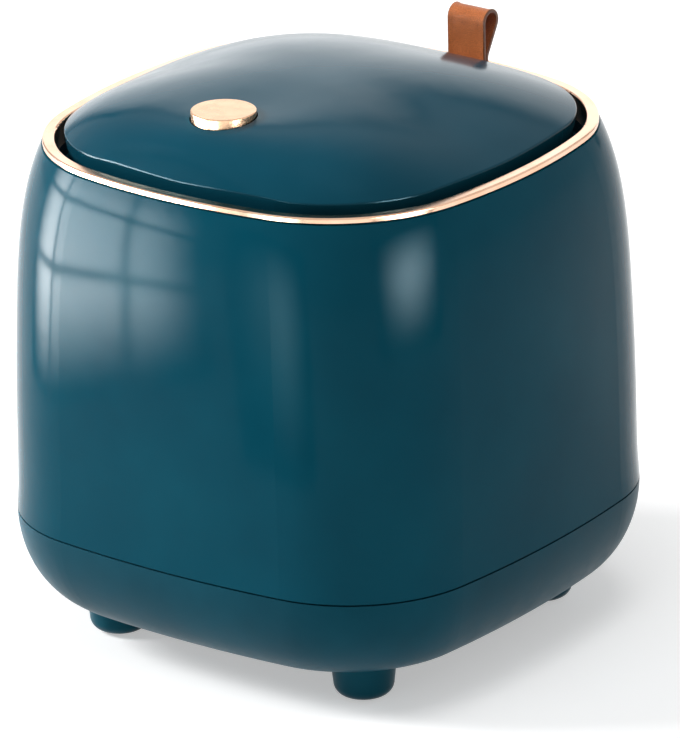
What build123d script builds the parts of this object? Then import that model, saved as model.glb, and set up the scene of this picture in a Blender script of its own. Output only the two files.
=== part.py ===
from build123d import *
from math import atan2, cos, degrees, exp, pi, radians, sin, sqrt
import os

# Desktop waste bin: bowed square body on four feet, plated rim ring, domed press-top lid.
# Millimetres. Front is -Y, the hinge and the pull loop are at the back (+Y), the table is Z = 0.

# Body outline. Each horizontal section is a square with bowed sides and round corners.
seam_half_width = 90.0
seam_side_radius = 400.0
seam_corner_radius = 48.0
rim_half_width = 83.3
rim_side_radius = 212.0
rim_corner_radius = 54.0
rim_height = 170.6
seam_height = 45.0
lean_power = 7.0
shell_wall = 2.2
rim_wall = 2.0

# Lower pan
pan_underside = 13.2
pan_floor_half_width = 69.0
pan_corner_radius = 37.0
pan_wall = 2.4
seam_gap = 0.6
tongue_depth = 4.0
tongue_thickness = 1.1

# Feet
foot_offset = 50.5
foot_top_radius = 11.0
foot_bottom_radius = 9.6
foot_rounding = 4.4
foot_bottom = 0.6
pad_radius = 5.4
pad_recess = 1.4
land_height = 0.3
foot_screw_shank = 3.0
foot_screw_head = 5.6
foot_screw_head_height = 2.2
foot_screw_length = 15.0
boss_radius = 4.0
boss_height = 11.0

# Fits
running_clearance = 0.05
close_clearance = 0.1
free_clearance = 0.3

# Top frame and ring, as insets from the rim's outer edge and depths below the rim
flange_thickness = 0.7
flange_inset = 1.0
frame_wall = 1.1
ring_inset = 0.4
ring_thickness = 1.0
ring_seat_clearance = 0.1
ring_height = 1.7
ring_wall_depth = 6.6
ring_rounding = 0.6
skirt_wall = 2.0
skirt_depth = 22.6
deck_depth = 10.6
deck_thickness = 2.4
throat_half_width = 66.0
throat_front = 60.0
throat_corner_radius = 20.0
throat_lip_wall = 2.0
throat_lip_depth = 9.0

# Lid
lid_gap = 4.6
lid_edge_depth = 4.6
lid_edge_tuck = 1.5
crease_rise = 4.7
lid_wall = 2.0
dome_rise = 17.8
dome_front_rise = 1.5
dome_squareness = 2.93
dome_rear_power = 0.75
dome_front_power = 1.85
crease_rounding = 0.8
liner_clearance = 0.4
liner_thickness = 2.0
liner_lift = 1.0
lid_notch_width = 19.0
lid_notch_depth = 2.4

# Hinge
hinge_setback = 17.3
hinge_rise = 1.8
pin_radius = 1.5
knuckle_radius = 3.0
ear_width = 3.0
knuckle_width = 6.0
side_clearance = 0.5
hinge_inner_x = 14.0
hinge_spring_length = 8.0
hinge_leg_slope = 35.0
hinge_leg_forward = 14.0
lug_depth = 3.0
lug_thickness = 1.2
ear_reach = 17.0
ear_foot_gap = 1.0
ear_foot_depth = 4.0
ear_elbow_forward = 9.0
ear_elbow_drop = 1.9
ear_elbow_radius = 2.5
spring_wire = 0.8
spring_turn_radius = 2.4
hinge_open_width = 42.0
hinge_open_reach = 22.0

# Button and latch
button_setback = 31.3
button_radius = 10.7
button_proud = 2.3
button_gap = 0.4
button_travel = 3.0
button_wall = 1.4
button_skirt = 7.5
button_land_radius = 24.0
button_land_share = 0.75
button_land_fade = 6.0
slider_lift = 0.2
wedge_gap = 0.2
wedge_clearance = 0.7
chimney_wall = 1.5
stem_radius = 4.0
stem_flange_radius = 7.5
stem_flange_thickness = 1.5
collar_radius = 5.0
collar_thickness = 2.0
button_spring_radius = 5.2
button_spring_turns = 4.5
slider_half_width = 6.0
slider_thickness = 4.0
slider_rear = 12.0
latch_spring_length = 6.0
latch_spring_radius = 1.6
latch_spring_wire = 0.5
latch_spring_turns = 5.0
hook_thickness = 2.0
hook_engagement = 2.5
hook_leg = 2.6
keeper_thickness = 1.2
keeper_lip = 3.0
keeper_half_width = 7.0
keeper_foot = 8.0
keeper_screw_share = 0.7
keeper_screw_spread = 0.6
guide_plate = 1.2
guide_half_width = 14.0
bridge_thickness = 1.5
post_width = 4.5

# Leather pull loop
strap_width = 15.0
leather_thickness = 1.3
loop_crown_radius = 4.35
loop_height = 19.2
strap_tail_depth = 19.6
slot_side_gap = 0.9
clamp_thickness = 1.2
clamp_height = 7.0
strap_screw_spacing = 8.0
strap_block_depth = 6.0

# Fasteners and bumpers
small_screw_shank = 2.0
small_screw_head = 3.8
small_screw_head_height = 1.2
liner_screw_shank = 2.9
liner_screw_head = 5.4
liner_screw_head_height = 1.8
liner_screw_length = 9.0
liner_screw_x = 48.0
liner_screw_front = 40.0
liner_screw_rear = 34.0
liner_boss_radius = 3.6
recess_depth = 0.8
recess_span = 0.55
recess_slot = 0.14
spring_end_gap = 0.1
bumper_radius = 2.4
bumper_x = 30.0

# Places that keep their distance from the rim's edge
hinge_y = rim_half_width - hinge_setback
ear_foot_front = hinge_y - ear_reach
hinge_open_front = hinge_y - hinge_open_reach
throat_rear = ear_foot_front - ear_foot_gap
button_y = button_setback - rim_half_width

# The collar passes the narrowest place of the mouth: the rim, or the neck at the skirt's foot
skirt_bottom = rim_height - skirt_depth
neck_share = (skirt_bottom - seam_height) / (rim_height - seam_height)
neck_half_width = seam_half_width - (seam_half_width - rim_half_width) * neck_share**lean_power
neck_wall = shell_wall + (rim_wall - shell_wall) * neck_share
neck_inset = rim_half_width - neck_half_width + neck_wall
frame_inset = max(rim_wall, neck_inset) + free_clearance

# Levels that follow from the sizes above
ring_bottom = rim_height + flange_thickness
ring_top = ring_bottom + ring_height
deck_top = rim_height - deck_depth
deck_bottom = deck_top - deck_thickness
lid_edge_height = rim_height - lid_edge_depth
crease_height = rim_height + crease_rise
liner_bottom = lid_edge_height + liner_lift
liner_top = liner_bottom + liner_thickness
hinge_z = rim_height + hinge_rise
foot_land = pan_underside - land_height
frame_inner_inset = frame_inset + frame_wall
ring_outer_wall_inset = frame_inner_inset + ring_seat_clearance
ring_inner_inset = ring_outer_wall_inset + ring_thickness
crease_inset = ring_inner_inset + lid_gap - lid_edge_tuck
lid_edge_inset = crease_inset + lid_edge_tuck
liner_inset = lid_edge_inset + lid_wall + liner_clearance
lid_half_width = rim_half_width - crease_inset


def plan_arcs(half_width, side_radius, corner_radius):
    """Centre distance of the corner arcs and half angle of the side arcs, in degrees."""
    reach = side_radius - half_width
    swing = side_radius - corner_radius
    corner = (sqrt(2 * swing**2 - reach**2) - reach) / 2
    return corner, degrees(atan2(corner, corner + reach))


def bowed_square(height, half_width, side_radius, corner_radius):
    """Horizontal face of a square with bowed sides and round corners, all arcs tangent."""
    corner, half_angle = plan_arcs(half_width, side_radius, corner_radius)
    with BuildSketch(Plane.XY.offset(height)) as section:
        with BuildLine():
            for quarter in range(4):
                turn = 90 * quarter
                side_centre = Vector(half_width - side_radius, 0).rotate(Axis.Z, turn)
                corner_centre = Vector(corner, corner).rotate(Axis.Z, turn)
                CenterArc(side_centre, side_radius, turn - half_angle, 2 * half_angle)
                CenterArc(corner_centre, corner_radius, turn + half_angle, 90 - 2 * half_angle)
        make_face()
    return section.sketch


def body_section(height, inset):
    """Section of the upper body at a height, drawn in by an inset."""
    share = (height - seam_height) / (rim_height - seam_height)
    half_width = seam_half_width - (seam_half_width - rim_half_width) * share**lean_power
    side = seam_side_radius + (rim_side_radius - seam_side_radius) * share
    corner = seam_corner_radius + (rim_corner_radius - seam_corner_radius) * share
    return bowed_square(height, half_width - inset, side - inset, corner - inset)


def pan_section(swing, inset):
    """Section of the lower pan. Swing goes from 0 degrees at the seam to 90 at the floor."""
    drop = seam_height - pan_underside - inset
    height = seam_height - drop * sin(radians(swing))
    share = cos(radians(swing))
    spread = (seam_half_width - inset - pan_floor_half_width) * share
    corner = pan_corner_radius + (seam_corner_radius - inset - pan_corner_radius) * share
    side = seam_side_radius - inset
    return bowed_square(height, pan_floor_half_width + spread, side, corner)


def rim_section(height, inset):
    """Section at the rim's outline, drawn in by an inset, at any height."""
    return bowed_square(
        height, rim_half_width - inset, rim_side_radius - inset, rim_corner_radius - inset
    )


def rim_edge_y(inset, across):
    """Distance from the middle to the rim's side at an inset, some way across the side."""
    radius = rim_side_radius - inset
    return rim_half_width - inset - radius + sqrt(radius**2 - across**2)


def dome_spread(across, depth):
    """0 in the lid's middle and 1 on the square-ish outline through its edge."""
    spread = (abs(across) / lid_half_width) ** dome_squareness
    return spread + (abs(depth) / lid_half_width) ** dome_squareness


def plain_dome_height(across, depth):
    """Height of the lid's top surface before the button's flat is blended in."""
    front = max(0.0, -depth / lid_half_width)
    spread = dome_spread(across, depth)
    rise = dome_rise - dome_front_rise * depth / lid_half_width
    power = dome_rear_power + dome_front_power * front**2
    if spread <= 1:
        return crease_height + rise * (1 - spread**power)
    return crease_height - rise * (1 - exp((1 - spread) * power))


button_land = plain_dome_height(0, button_y)
button_top = button_land + button_proud


def dome_height(across, depth):
    """Height of the lid's top surface, nearly level where the button stands."""
    plain = plain_dome_height(across, depth)
    distance = sqrt(across**2 + (depth - button_y) ** 2)
    share = button_land_share * exp(-((distance / button_land_radius) ** 2))
    share *= max(0.0, 1 - dome_spread(across, depth) ** button_land_fade)
    return plain + share * (button_land - plain)


def below_dome(drop):
    """Solid under the lid's top surface, lowered by a drop."""
    steps = 48
    reach = lid_half_width + 10
    grid = [
        [
            (
                reach * (2 * i / steps - 1),
                reach * (2 * j / steps - 1),
                dome_height(reach * (2 * i / steps - 1), reach * (2 * j / steps - 1)) - drop,
            )
            for i in range(steps + 1)
        ]
        for j in range(steps + 1)
    ]
    surface = Face.make_surface_from_array_of_points(grid, min_deg=3, max_deg=3)
    with BuildPart() as block:
        extrude(surface, amount=lid_half_width, dir=(0, 0, -1))
    return block.part


def dome_blank(inset, drop, floor):
    """Closed form of the lid, drawn in by an inset and lowered by a drop, above a floor."""
    overshoot = 4 * lid_wall
    top = crease_height + overshoot
    slope = lid_edge_tuck / (crease_height - lid_edge_height)
    with BuildPart() as blank:
        loft(
            [
                rim_section(floor, crease_inset + slope * (crease_height - floor) + inset),
                rim_section(top, crease_inset - slope * overshoot + inset),
            ],
            ruled=True,
        )
        extrude(
            rim_section(top, crease_inset - slope * overshoot + inset).face(),
            amount=2 * dome_rise,
            dir=(0, 0, 1),
        )
        add(below_dome(drop), mode=Mode.INTERSECT)
    return blank.part


def coil(frame, radius, pitch, turns, wire, lead_in=0.0, lead_out=0.0):
    """Wound spring along the frame's Z axis, as one unbroken tube of tangent arcs.

    The wire starts on the frame's X axis. A lead is a straight leg that leaves a coil's end
    along its tangent.
    """
    steps = round(4 * turns)
    step_angle = 2 * pi * turns / steps
    climb = pitch / (2 * pi)

    def place(step):
        """Point of the coil and its direction there."""
        angle = step_angle * step
        local_point = (radius * cos(angle), radius * sin(angle), climb * angle)
        local_heading = (-radius * sin(angle), radius * cos(angle), climb)
        point = frame.from_local_coords(Vector(local_point))
        heading = frame.from_local_coords(Vector(local_heading)) - frame.origin
        return point, heading.normalized()

    knots = []
    for step in range(steps):
        start, leave = place(step)
        end, arrive = place(step + 1)
        chord = end - start
        both = leave + arrive
        square = 4 - both.dot(both)
        middle = 2 * chord.dot(both)
        arm = (-middle + sqrt(middle**2 + 4 * square * chord.dot(chord))) / (2 * square)
        joint = (start + leave * arm + end - arrive * arm) / 2
        turning = end - arrive * arm - start - leave * arm
        knots.append((start, leave, joint, turning, end))

    with BuildPart() as wound:
        with BuildLine() as path:
            first, heading = place(0)
            if lead_in:
                Line(first - heading * lead_in, first)
            for start, leave, joint, turning, end in knots:
                TangentArc(start, joint, tangent=leave)
                TangentArc(joint, end, tangent=turning)
            if lead_out:
                last, heading = place(steps)
                Line(last, last + heading * lead_out)
        spine = path.wires()[0]
        with BuildSketch(Plane(origin=spine @ 0, z_dir=spine % 0)):
            Circle(wire / 2)
        sweep()

    samples_per_turn = 24
    count = round(samples_per_turn * (turns + (lead_in + lead_out) / (2 * pi * radius)))
    points = [
        spine.position_at(index / count, position_mode=PositionMode.PARAMETER)
        for index in range(count + 1)
    ]
    half_turn = samples_per_turn // 2
    gaps = [
        (points[i] - points[j]).length
        for i in range(len(points))
        for j in range(i + half_turn, len(points))
    ]
    print("least gap between turns", round(min(gaps) - wire, 3))
    return wound.part


def screw(frame, shank, length, head, head_height):
    """Pan-head screw. The frame's origin is under the head and its Z axis points to the tip."""
    with BuildPart(frame) as body:
        Cylinder(shank / 2, length, align=(Align.CENTER, Align.CENTER, Align.MIN))
        Cylinder(head / 2, head_height, align=(Align.CENTER, Align.CENTER, Align.MAX))
        rims = body.edges().filter_by(GeomType.CIRCLE)
        fillet(rims.sort_by(Axis(frame.origin, frame.z_dir))[0], head_height / 3)
        with BuildSketch(frame.offset(-head_height)):
            Rectangle(head * recess_span, head * recess_slot)
            Rectangle(head * recess_slot, head * recess_span)
        extrude(amount=recess_depth, mode=Mode.SUBTRACT)
    return body.part


os.makedirs("parts", exist_ok=True)
kept = []


def keep(part, label):
    """Label a finished piece and write its file."""
    part.label = label
    export_step(part, "parts/" + label + ".step")
    kept.append(label)


# Outer shell: bowed upper wall with a tongue below and a slot for the pull loop at the back
wall_shares = (0, 0.3, 0.55, 0.75, 0.88, 0.95, 1)
wall_heights = [seam_height + (rim_height - seam_height) * share for share in wall_shares]
strap_front = rim_half_width - frame_inset + free_clearance
strap_rear = strap_front + 2 * leather_thickness
slot_half_width = strap_width / 2 + slot_side_gap
slot_bottom = rim_height - strap_tail_depth - slot_side_gap

with BuildPart() as outer_shell:
    loft([body_section(height, 0) for height in wall_heights])
    loft(
        [
            body_section(height, shell_wall + (rim_wall - shell_wall) * share)
            for height, share in zip(wall_heights, wall_shares)
        ],
        mode=Mode.SUBTRACT,
    )
    with BuildSketch(Plane.XY.offset(seam_height)):
        add(body_section(seam_height, shell_wall - tongue_thickness).face())
        add(body_section(seam_height, shell_wall).face(), mode=Mode.SUBTRACT)
    extrude(amount=-tongue_depth)
    slot_height = 2 * (rim_height - slot_bottom)
    with BuildSketch(Plane.XZ.offset(-throat_half_width)):
        with Locations((0, rim_height)):
            RectangleRounded(2 * slot_half_width, slot_height, slot_half_width / 2)
    extrude(amount=-seam_half_width, mode=Mode.SUBTRACT)
keep(outer_shell.part, "outer_shell")

# Lower pan: closed floor, curved wall, a rebate for the shell's tongue, four screw bosses
foot_places = [
    ("front_left", -foot_offset, -foot_offset),
    ("front_right", foot_offset, -foot_offset),
    ("rear_left", -foot_offset, foot_offset),
    ("rear_right", foot_offset, foot_offset),
]
swings = (0, 15, 30, 45, 60, 75, 90)
foot_points = [(x, y) for _, x, y in foot_places]

with BuildPart() as base_pan:
    loft([pan_section(swing, 0) for swing in swings])
    loft([pan_section(swing, pan_wall) for swing in swings], mode=Mode.SUBTRACT)
    with BuildSketch(Plane.XY.offset(seam_height - tongue_depth)):
        rebate_inset = shell_wall - tongue_thickness - close_clearance
        add(body_section(seam_height - tongue_depth, rebate_inset).face())
    extrude(amount=tongue_depth, mode=Mode.SUBTRACT)
    with BuildSketch(Plane.XY.offset(seam_height - seam_gap)):
        Rectangle(3 * seam_half_width, 3 * seam_half_width)
    extrude(amount=2 * seam_gap, mode=Mode.SUBTRACT)
    with BuildSketch(Plane.XY.offset(foot_land)):
        with Locations(*foot_points):
            Circle(foot_top_radius)
    extrude(amount=land_height + pan_wall / 2)
    with BuildSketch(Plane.XY.offset(pan_underside + pan_wall / 2)):
        with Locations(*foot_points):
            Circle(boss_radius)
    extrude(amount=boss_height)
    with BuildSketch(Plane.XY.offset(foot_land)):
        with Locations(*foot_points):
            Circle(foot_screw_shank / 2 + running_clearance)
    extrude(amount=boss_height, mode=Mode.SUBTRACT)
keep(base_pan.part, "base_pan")

# Feet, each with a rubber pad let into its underside and a screw up into the pan
foot_height = foot_land - foot_bottom
screw_seat = foot_land - foot_height / 2
for place, x, y in foot_places:
    with BuildPart(Plane(origin=(x, y, foot_bottom))) as foot:
        Cone(
            foot_bottom_radius,
            foot_top_radius,
            foot_height,
            align=(Align.CENTER, Align.CENTER, Align.MIN),
        )
        fillet(foot.edges().group_by(Axis.Z)[0], foot_rounding)
        with BuildSketch(Plane(origin=(x, y, foot_bottom))):
            Circle(pad_radius + close_clearance)
        extrude(amount=pad_recess, mode=Mode.SUBTRACT)
        with BuildSketch(Plane(origin=(x, y, foot_bottom))):
            Circle(foot_screw_head / 2 + free_clearance)
        extrude(amount=screw_seat - foot_bottom, mode=Mode.SUBTRACT)
        with BuildSketch(Plane(origin=(x, y, foot_bottom))):
            Circle(foot_screw_shank / 2 + close_clearance)
        extrude(amount=foot_height, mode=Mode.SUBTRACT)
    keep(foot.part, "foot_" + place)

    with BuildPart(Plane(origin=(x, y, 0))) as pad:
        Cylinder(
            pad_radius, foot_bottom + pad_recess, align=(Align.CENTER, Align.CENTER, Align.MIN)
        )
        fillet(pad.edges().group_by(Axis.Z)[0], foot_bottom / 2)
    keep(pad.part, "pad_" + place)

with BuildPart() as foot_screws:
    for x, y in foot_points:
        frame = Plane(origin=(x, y, screw_seat))
        add(
            screw(
                frame,
                foot_screw_shank,
                foot_screw_length,
                foot_screw_head,
                foot_screw_head_height,
            )
        )
keep(foot_screws.part, "foot_screws")


# Places shared by the latch, the keeper and the hinge
keeper_front = -(rim_half_width - lid_edge_inset - lid_wall - 2 * side_clearance)
keeper_rear = keeper_front + keeper_thickness
lip_edge = keeper_rear + keeper_lip
lip_bottom = lid_edge_height + keeper_thickness
hook_tip = lip_edge - hook_engagement
hook_top = lip_bottom - free_clearance
leg_front = lip_edge + side_clearance
keeper_screw_y = keeper_rear + keeper_screw_share * keeper_foot
keeper_screw_x = keeper_screw_spread * keeper_half_width
ear_inner = (hinge_inner_x, hinge_inner_x + ear_width)
spring_span = (ear_inner[1] + side_clearance, ear_inner[1] + side_clearance + hinge_spring_length)
knuckle = (spring_span[1] + side_clearance, spring_span[1] + side_clearance + knuckle_width)
ear_outer = (knuckle[1] + side_clearance, knuckle[1] + side_clearance + ear_width)
strap_screw_z = rim_height - strap_tail_depth + clamp_height / 2
strap_screw_points = [
    (-strap_screw_spacing / 2, strap_screw_z),
    (strap_screw_spacing / 2, strap_screw_z),
]
throat_length = throat_front + throat_rear
throat_middle = (throat_rear - throat_front) / 2


def rim_ring(bottom, height, outer_inset, inner_inset):
    """Upright ring that follows the rim's outline, between two insets."""
    with BuildPart() as ring:
        with BuildSketch(Plane.XY.offset(bottom)):
            add(rim_section(bottom, outer_inset).face())
            add(rim_section(bottom, inner_inset).face(), mode=Mode.SUBTRACT)
        extrude(amount=height)
    return ring.part


# Top frame: collar in the mouth of the shell, deck with the throat, hinge ears at the back
wall_bottom = ring_bottom - ring_wall_depth
with BuildPart() as top_frame:
    add(rim_ring(skirt_bottom, deck_bottom - skirt_bottom, frame_inset, frame_inset + skirt_wall))
    add(rim_ring(deck_top, wall_bottom - deck_top, frame_inset, ring_inner_inset))
    add(rim_ring(wall_bottom, ring_bottom - wall_bottom, frame_inset, frame_inner_inset))
    add(rim_ring(rim_height, flange_thickness, flange_inset, frame_inset))
    with BuildSketch(Plane.XY.offset(deck_bottom)):
        add(rim_section(deck_bottom, frame_inset).face())
    extrude(amount=deck_thickness)
    with BuildSketch(Plane.XY.offset(deck_bottom - throat_lip_depth)):
        with Locations((0, throat_middle)):
            RectangleRounded(
                2 * (throat_half_width + throat_lip_wall),
                throat_length + 2 * throat_lip_wall,
                throat_corner_radius + throat_lip_wall,
            )
    extrude(amount=throat_lip_depth)
    with BuildSketch(Plane.XY.offset(skirt_bottom)):
        with Locations((0, throat_middle)):
            RectangleRounded(2 * throat_half_width, throat_length, throat_corner_radius)
    extrude(amount=2 * skirt_depth, mode=Mode.SUBTRACT)
    strap_block_top = deck_bottom
    strap_block_bottom = strap_screw_z - clamp_height / 2
    with BuildSketch(Plane.XY.offset(strap_block_bottom)):
        with Locations((0, rim_half_width - frame_inset - skirt_wall)):
            Rectangle(strap_width, strap_block_depth, align=(Align.CENTER, Align.MAX))
        with Locations((0, rim_half_width - frame_inset - skirt_wall)):
            Rectangle(strap_width, skirt_wall / 2, align=(Align.CENTER, Align.MIN))
    extrude(amount=strap_block_top - strap_block_bottom)
    with BuildSketch(Plane.XZ.offset(-(rim_half_width))):
        with Locations(*strap_screw_points):
            Circle(small_screw_shank / 2 + running_clearance)
    extrude(amount=frame_inset + strap_block_depth + skirt_wall / 2, mode=Mode.SUBTRACT)
    with BuildSketch(Plane.XY.offset(rim_height)):
        with Locations((0, rim_edge_y(frame_inset, slot_half_width))):
            Rectangle(
                2 * slot_half_width, 2 * frame_inset, align=(Align.CENTER, Align.MIN)
            )
    extrude(amount=flange_thickness, mode=Mode.SUBTRACT)
    with BuildSketch(Plane.XY.offset(deck_bottom)):
        with Locations((-keeper_screw_x, keeper_screw_y), (keeper_screw_x, keeper_screw_y)):
            Circle(small_screw_shank / 2 + running_clearance)
    extrude(amount=deck_thickness, mode=Mode.SUBTRACT)
    elbow = (hinge_y - ear_elbow_forward, hinge_z - ear_elbow_drop)
    for low, high in (ear_inner, ear_outer):
        for start in (low, -high):
            with BuildSketch(Plane.YZ.offset(start)):
                with Locations((hinge_y, hinge_z)):
                    Circle(knuckle_radius)
                with Locations(elbow):
                    Circle(ear_elbow_radius)
                make_hull()
            extrude(amount=high - low)
            with BuildSketch(Plane.YZ.offset(start)):
                with Locations(elbow):
                    Circle(ear_elbow_radius)
                with Locations((ear_foot_front + ear_foot_depth / 2, deck_top)):
                    Rectangle(ear_foot_depth, keeper_thickness)
                make_hull()
            extrude(amount=high - low)
    with BuildSketch(Plane.YZ.offset(-ear_outer[1] - side_clearance)):
        with Locations((hinge_y, hinge_z)):
            Circle(pin_radius + running_clearance / 2)
    extrude(amount=2 * (ear_outer[1] + side_clearance), mode=Mode.SUBTRACT)
keep(top_frame.part, "top_frame")

# Plated trim ring that stands on the frame's step and covers the flange
with BuildPart() as trim_ring:
    add(rim_ring(ring_bottom, ring_height, ring_inset, ring_inner_inset))
    add(rim_ring(wall_bottom, ring_wall_depth, ring_outer_wall_inset, ring_inner_inset))
    fillet(trim_ring.faces().sort_by(Axis.Z)[-1].edges(), ring_rounding)
    with BuildSketch(Plane.XY.offset(ring_bottom)):
        with Locations((0, rim_edge_y(frame_inset, slot_half_width))):
            Rectangle(2 * slot_half_width, 2 * frame_inset, align=(Align.CENTER, Align.MIN))
    extrude(amount=ring_height, mode=Mode.SUBTRACT)
keep(trim_ring.part, "trim_ring")

# Latch keeper: bent steel plate screwed to the deck, with a lip that the hook catches under
with BuildPart() as latch_keeper:
    with BuildSketch(Plane.YZ.offset(-keeper_half_width)):
        with BuildLine():
            Polyline(
                (keeper_front, deck_top),
                (keeper_front, lip_bottom + keeper_thickness),
                (lip_edge, lip_bottom + keeper_thickness),
                (lip_edge, lip_bottom),
                (keeper_rear, lip_bottom),
                (keeper_rear, deck_top + keeper_thickness),
                (keeper_rear + keeper_foot, deck_top + keeper_thickness),
                (keeper_rear + keeper_foot, deck_top),
                close=True,
            )
        make_face()
    extrude(amount=2 * keeper_half_width)
    bend = latch_keeper.edges().filter_by(Axis.X).group_by(Axis.Y)[0].sort_by(Axis.Z)
    fillet(bend, keeper_thickness / 2)
    with BuildSketch(Plane.XY.offset(deck_top)):
        with Locations((-keeper_screw_x, keeper_screw_y), (keeper_screw_x, keeper_screw_y)):
            Circle(small_screw_shank / 2 + close_clearance)
    extrude(amount=keeper_thickness, mode=Mode.SUBTRACT)
keep(latch_keeper.part, "latch_keeper")

with BuildPart() as keeper_screws:
    for x in (-keeper_screw_x, keeper_screw_x):
        frame = Plane(
            origin=(x, keeper_screw_y, deck_top + keeper_thickness), x_dir=(1, 0, 0), z_dir=(0, 0, -1)
        )
        add(
            screw(
                frame,
                small_screw_shank,
                keeper_thickness + deck_thickness + side_clearance,
                small_screw_head,
                small_screw_head_height,
            )
        )
keep(keeper_screws.part, "keeper_screws")

# Hinge pins and the torsion springs wound round them, the left ones mirrored
pin_ends = (ear_inner[0] - side_clearance, ear_outer[1] + side_clearance)
with BuildPart() as hinge_pin_right:
    with BuildSketch(Plane.YZ.offset(pin_ends[0])):
        with Locations((hinge_y, hinge_z)):
            Circle(pin_radius)
    extrude(amount=pin_ends[1] - pin_ends[0])
    chamfer(hinge_pin_right.edges().filter_by(GeomType.CIRCLE), free_clearance)
keep(hinge_pin_right.part, "hinge_pin_right")
keep(mirror(hinge_pin_right.part, about=Plane.YZ), "hinge_pin_left")

hinge_spring_turns = 3 + (180 - hinge_leg_slope) / 360
leg_start = hinge_z - spring_turn_radius * cos(radians(hinge_leg_slope))
leg_drop = leg_start - deck_top - spring_wire / 2 - close_clearance
hinge_leg_down = leg_drop / sin(radians(hinge_leg_slope))
wound_length = 2 * pi * spring_turn_radius * hinge_spring_turns
legs_share = (hinge_leg_down + hinge_leg_forward) / wound_length
coil_length = (hinge_spring_length - spring_wire) / (1 + legs_share)
leg_drift = coil_length * hinge_leg_down / wound_length
hinge_coil_frame = Plane(
    origin=(spring_span[0] + spring_wire / 2 + leg_drift, hinge_y, hinge_z),
    x_dir=(0, sin(radians(hinge_leg_slope)), -cos(radians(hinge_leg_slope))),
    z_dir=(1, 0, 0),
)
hinge_spring = coil(
    hinge_coil_frame,
    spring_turn_radius,
    coil_length / hinge_spring_turns,
    hinge_spring_turns,
    spring_wire,
    hinge_leg_down,
    hinge_leg_forward,
)
keep(hinge_spring, "hinge_spring_right")
keep(mirror(hinge_spring, about=Plane.YZ), "hinge_spring_left")

# Rubber bumpers on the deck under the lid's front edge
bumper_y = -rim_edge_y(lid_edge_inset + lid_wall / 2, bumper_x)
for side, x in (("left", -bumper_x), ("right", bumper_x)):
    with BuildPart(Plane(origin=(x, bumper_y, deck_top))) as bumper:
        Cylinder(
            bumper_radius,
            lid_edge_height - free_clearance - deck_top,
            align=(Align.CENTER, Align.CENTER, Align.MIN),
        )
        fillet(bumper.edges().group_by(Axis.Z)[-1], bumper_radius / 3)
    keep(bumper.part, "lid_bumper_" + side)

# Leather pull loop: a strap folded in half, standing up behind the ring
crown_y = strap_front + loop_crown_radius
crown_z = rim_height + loop_height - loop_crown_radius
loop_neck = ring_top
inner_crown = loop_crown_radius - leather_thickness
strap_end = rim_height - strap_tail_depth
with BuildPart() as leather_loop:
    with BuildSketch(Plane.YZ.offset(-strap_width / 2)):
        with Locations((crown_y, crown_z)):
            Circle(loop_crown_radius)
        with Locations(((strap_front + strap_rear) / 2, loop_neck)):
            Rectangle(2 * leather_thickness, leather_thickness)
        make_hull()
        with Locations(((strap_front + strap_rear) / 2, (loop_neck + strap_end) / 2)):
            Rectangle(2 * leather_thickness, loop_neck - strap_end)
        with BuildSketch(mode=Mode.SUBTRACT):
            with Locations((crown_y, crown_z)):
                Circle(inner_crown)
            with Locations(((strap_front + strap_rear) / 2, loop_neck + 2 * leather_thickness)):
                Circle(leather_thickness / 4)
            make_hull()
    extrude(amount=strap_width)
    with BuildSketch(Plane.XZ.offset(-strap_rear)):
        with Locations(*strap_screw_points):
            Circle(small_screw_shank / 2 + close_clearance)
    extrude(amount=2 * leather_thickness, mode=Mode.SUBTRACT)
keep(leather_loop.part, "leather_loop")

clamp_front = strap_rear + free_clearance
clamp_rear = clamp_front + clamp_thickness
with BuildPart() as strap_clamp:
    with BuildSketch(Plane.XZ.offset(-clamp_front)):
        with Locations((0, strap_screw_z)):
            RectangleRounded(strap_width - clamp_thickness, clamp_height, clamp_thickness)
        with Locations(*strap_screw_points):
            Circle(small_screw_shank / 2 + close_clearance, mode=Mode.SUBTRACT)
    extrude(amount=-clamp_thickness)
keep(strap_clamp.part, "strap_clamp")

with BuildPart() as strap_screws:
    for x, z in strap_screw_points:
        frame = Plane(origin=(x, clamp_rear, z), x_dir=(1, 0, 0), z_dir=(0, -1, 0))
        add(
            screw(
                frame,
                small_screw_shank,
                clamp_rear - strap_front + strap_block_depth,
                small_screw_head,
                small_screw_head_height,
            )
        )
keep(strap_screws.part, "strap_screws")

# Lid cover: domed skin with four screw bosses, a guide tube for the button and a rear notch
liner_screw_points = [
    (-liner_screw_x, -liner_screw_front),
    (liner_screw_x, -liner_screw_front),
    (-liner_screw_x, liner_screw_rear),
    (liner_screw_x, liner_screw_rear),
]
button_hole = button_radius + button_gap
skirt_rest = button_top - button_skirt
chimney_bottom = skirt_rest - button_travel + side_clearance
notch_y = rim_half_width - crease_inset - lid_notch_depth
with BuildPart() as lid_hollow:
    add(dome_blank(lid_wall, lid_wall, lid_edge_height - lid_wall))
    with BuildSketch(Plane.XY.offset(liner_top)):
        with Locations(*liner_screw_points):
            Circle(liner_boss_radius)
    extrude(amount=2 * dome_rise, mode=Mode.SUBTRACT)
    with BuildSketch(Plane.XY.offset(chimney_bottom)):
        with Locations((0, button_y)):
            Circle(button_hole + chimney_wall)
    extrude(amount=2 * dome_rise, mode=Mode.SUBTRACT)
    with BuildSketch(Plane.XY.offset(lid_edge_height - 2 * lid_wall)):
        with Locations((0, notch_y - lid_wall)):
            Rectangle(
                lid_notch_width + 2 * lid_wall,
                4 * lid_notch_depth,
                align=(Align.CENTER, Align.MIN),
            )
    extrude(amount=3 * dome_rise, mode=Mode.SUBTRACT)

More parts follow.
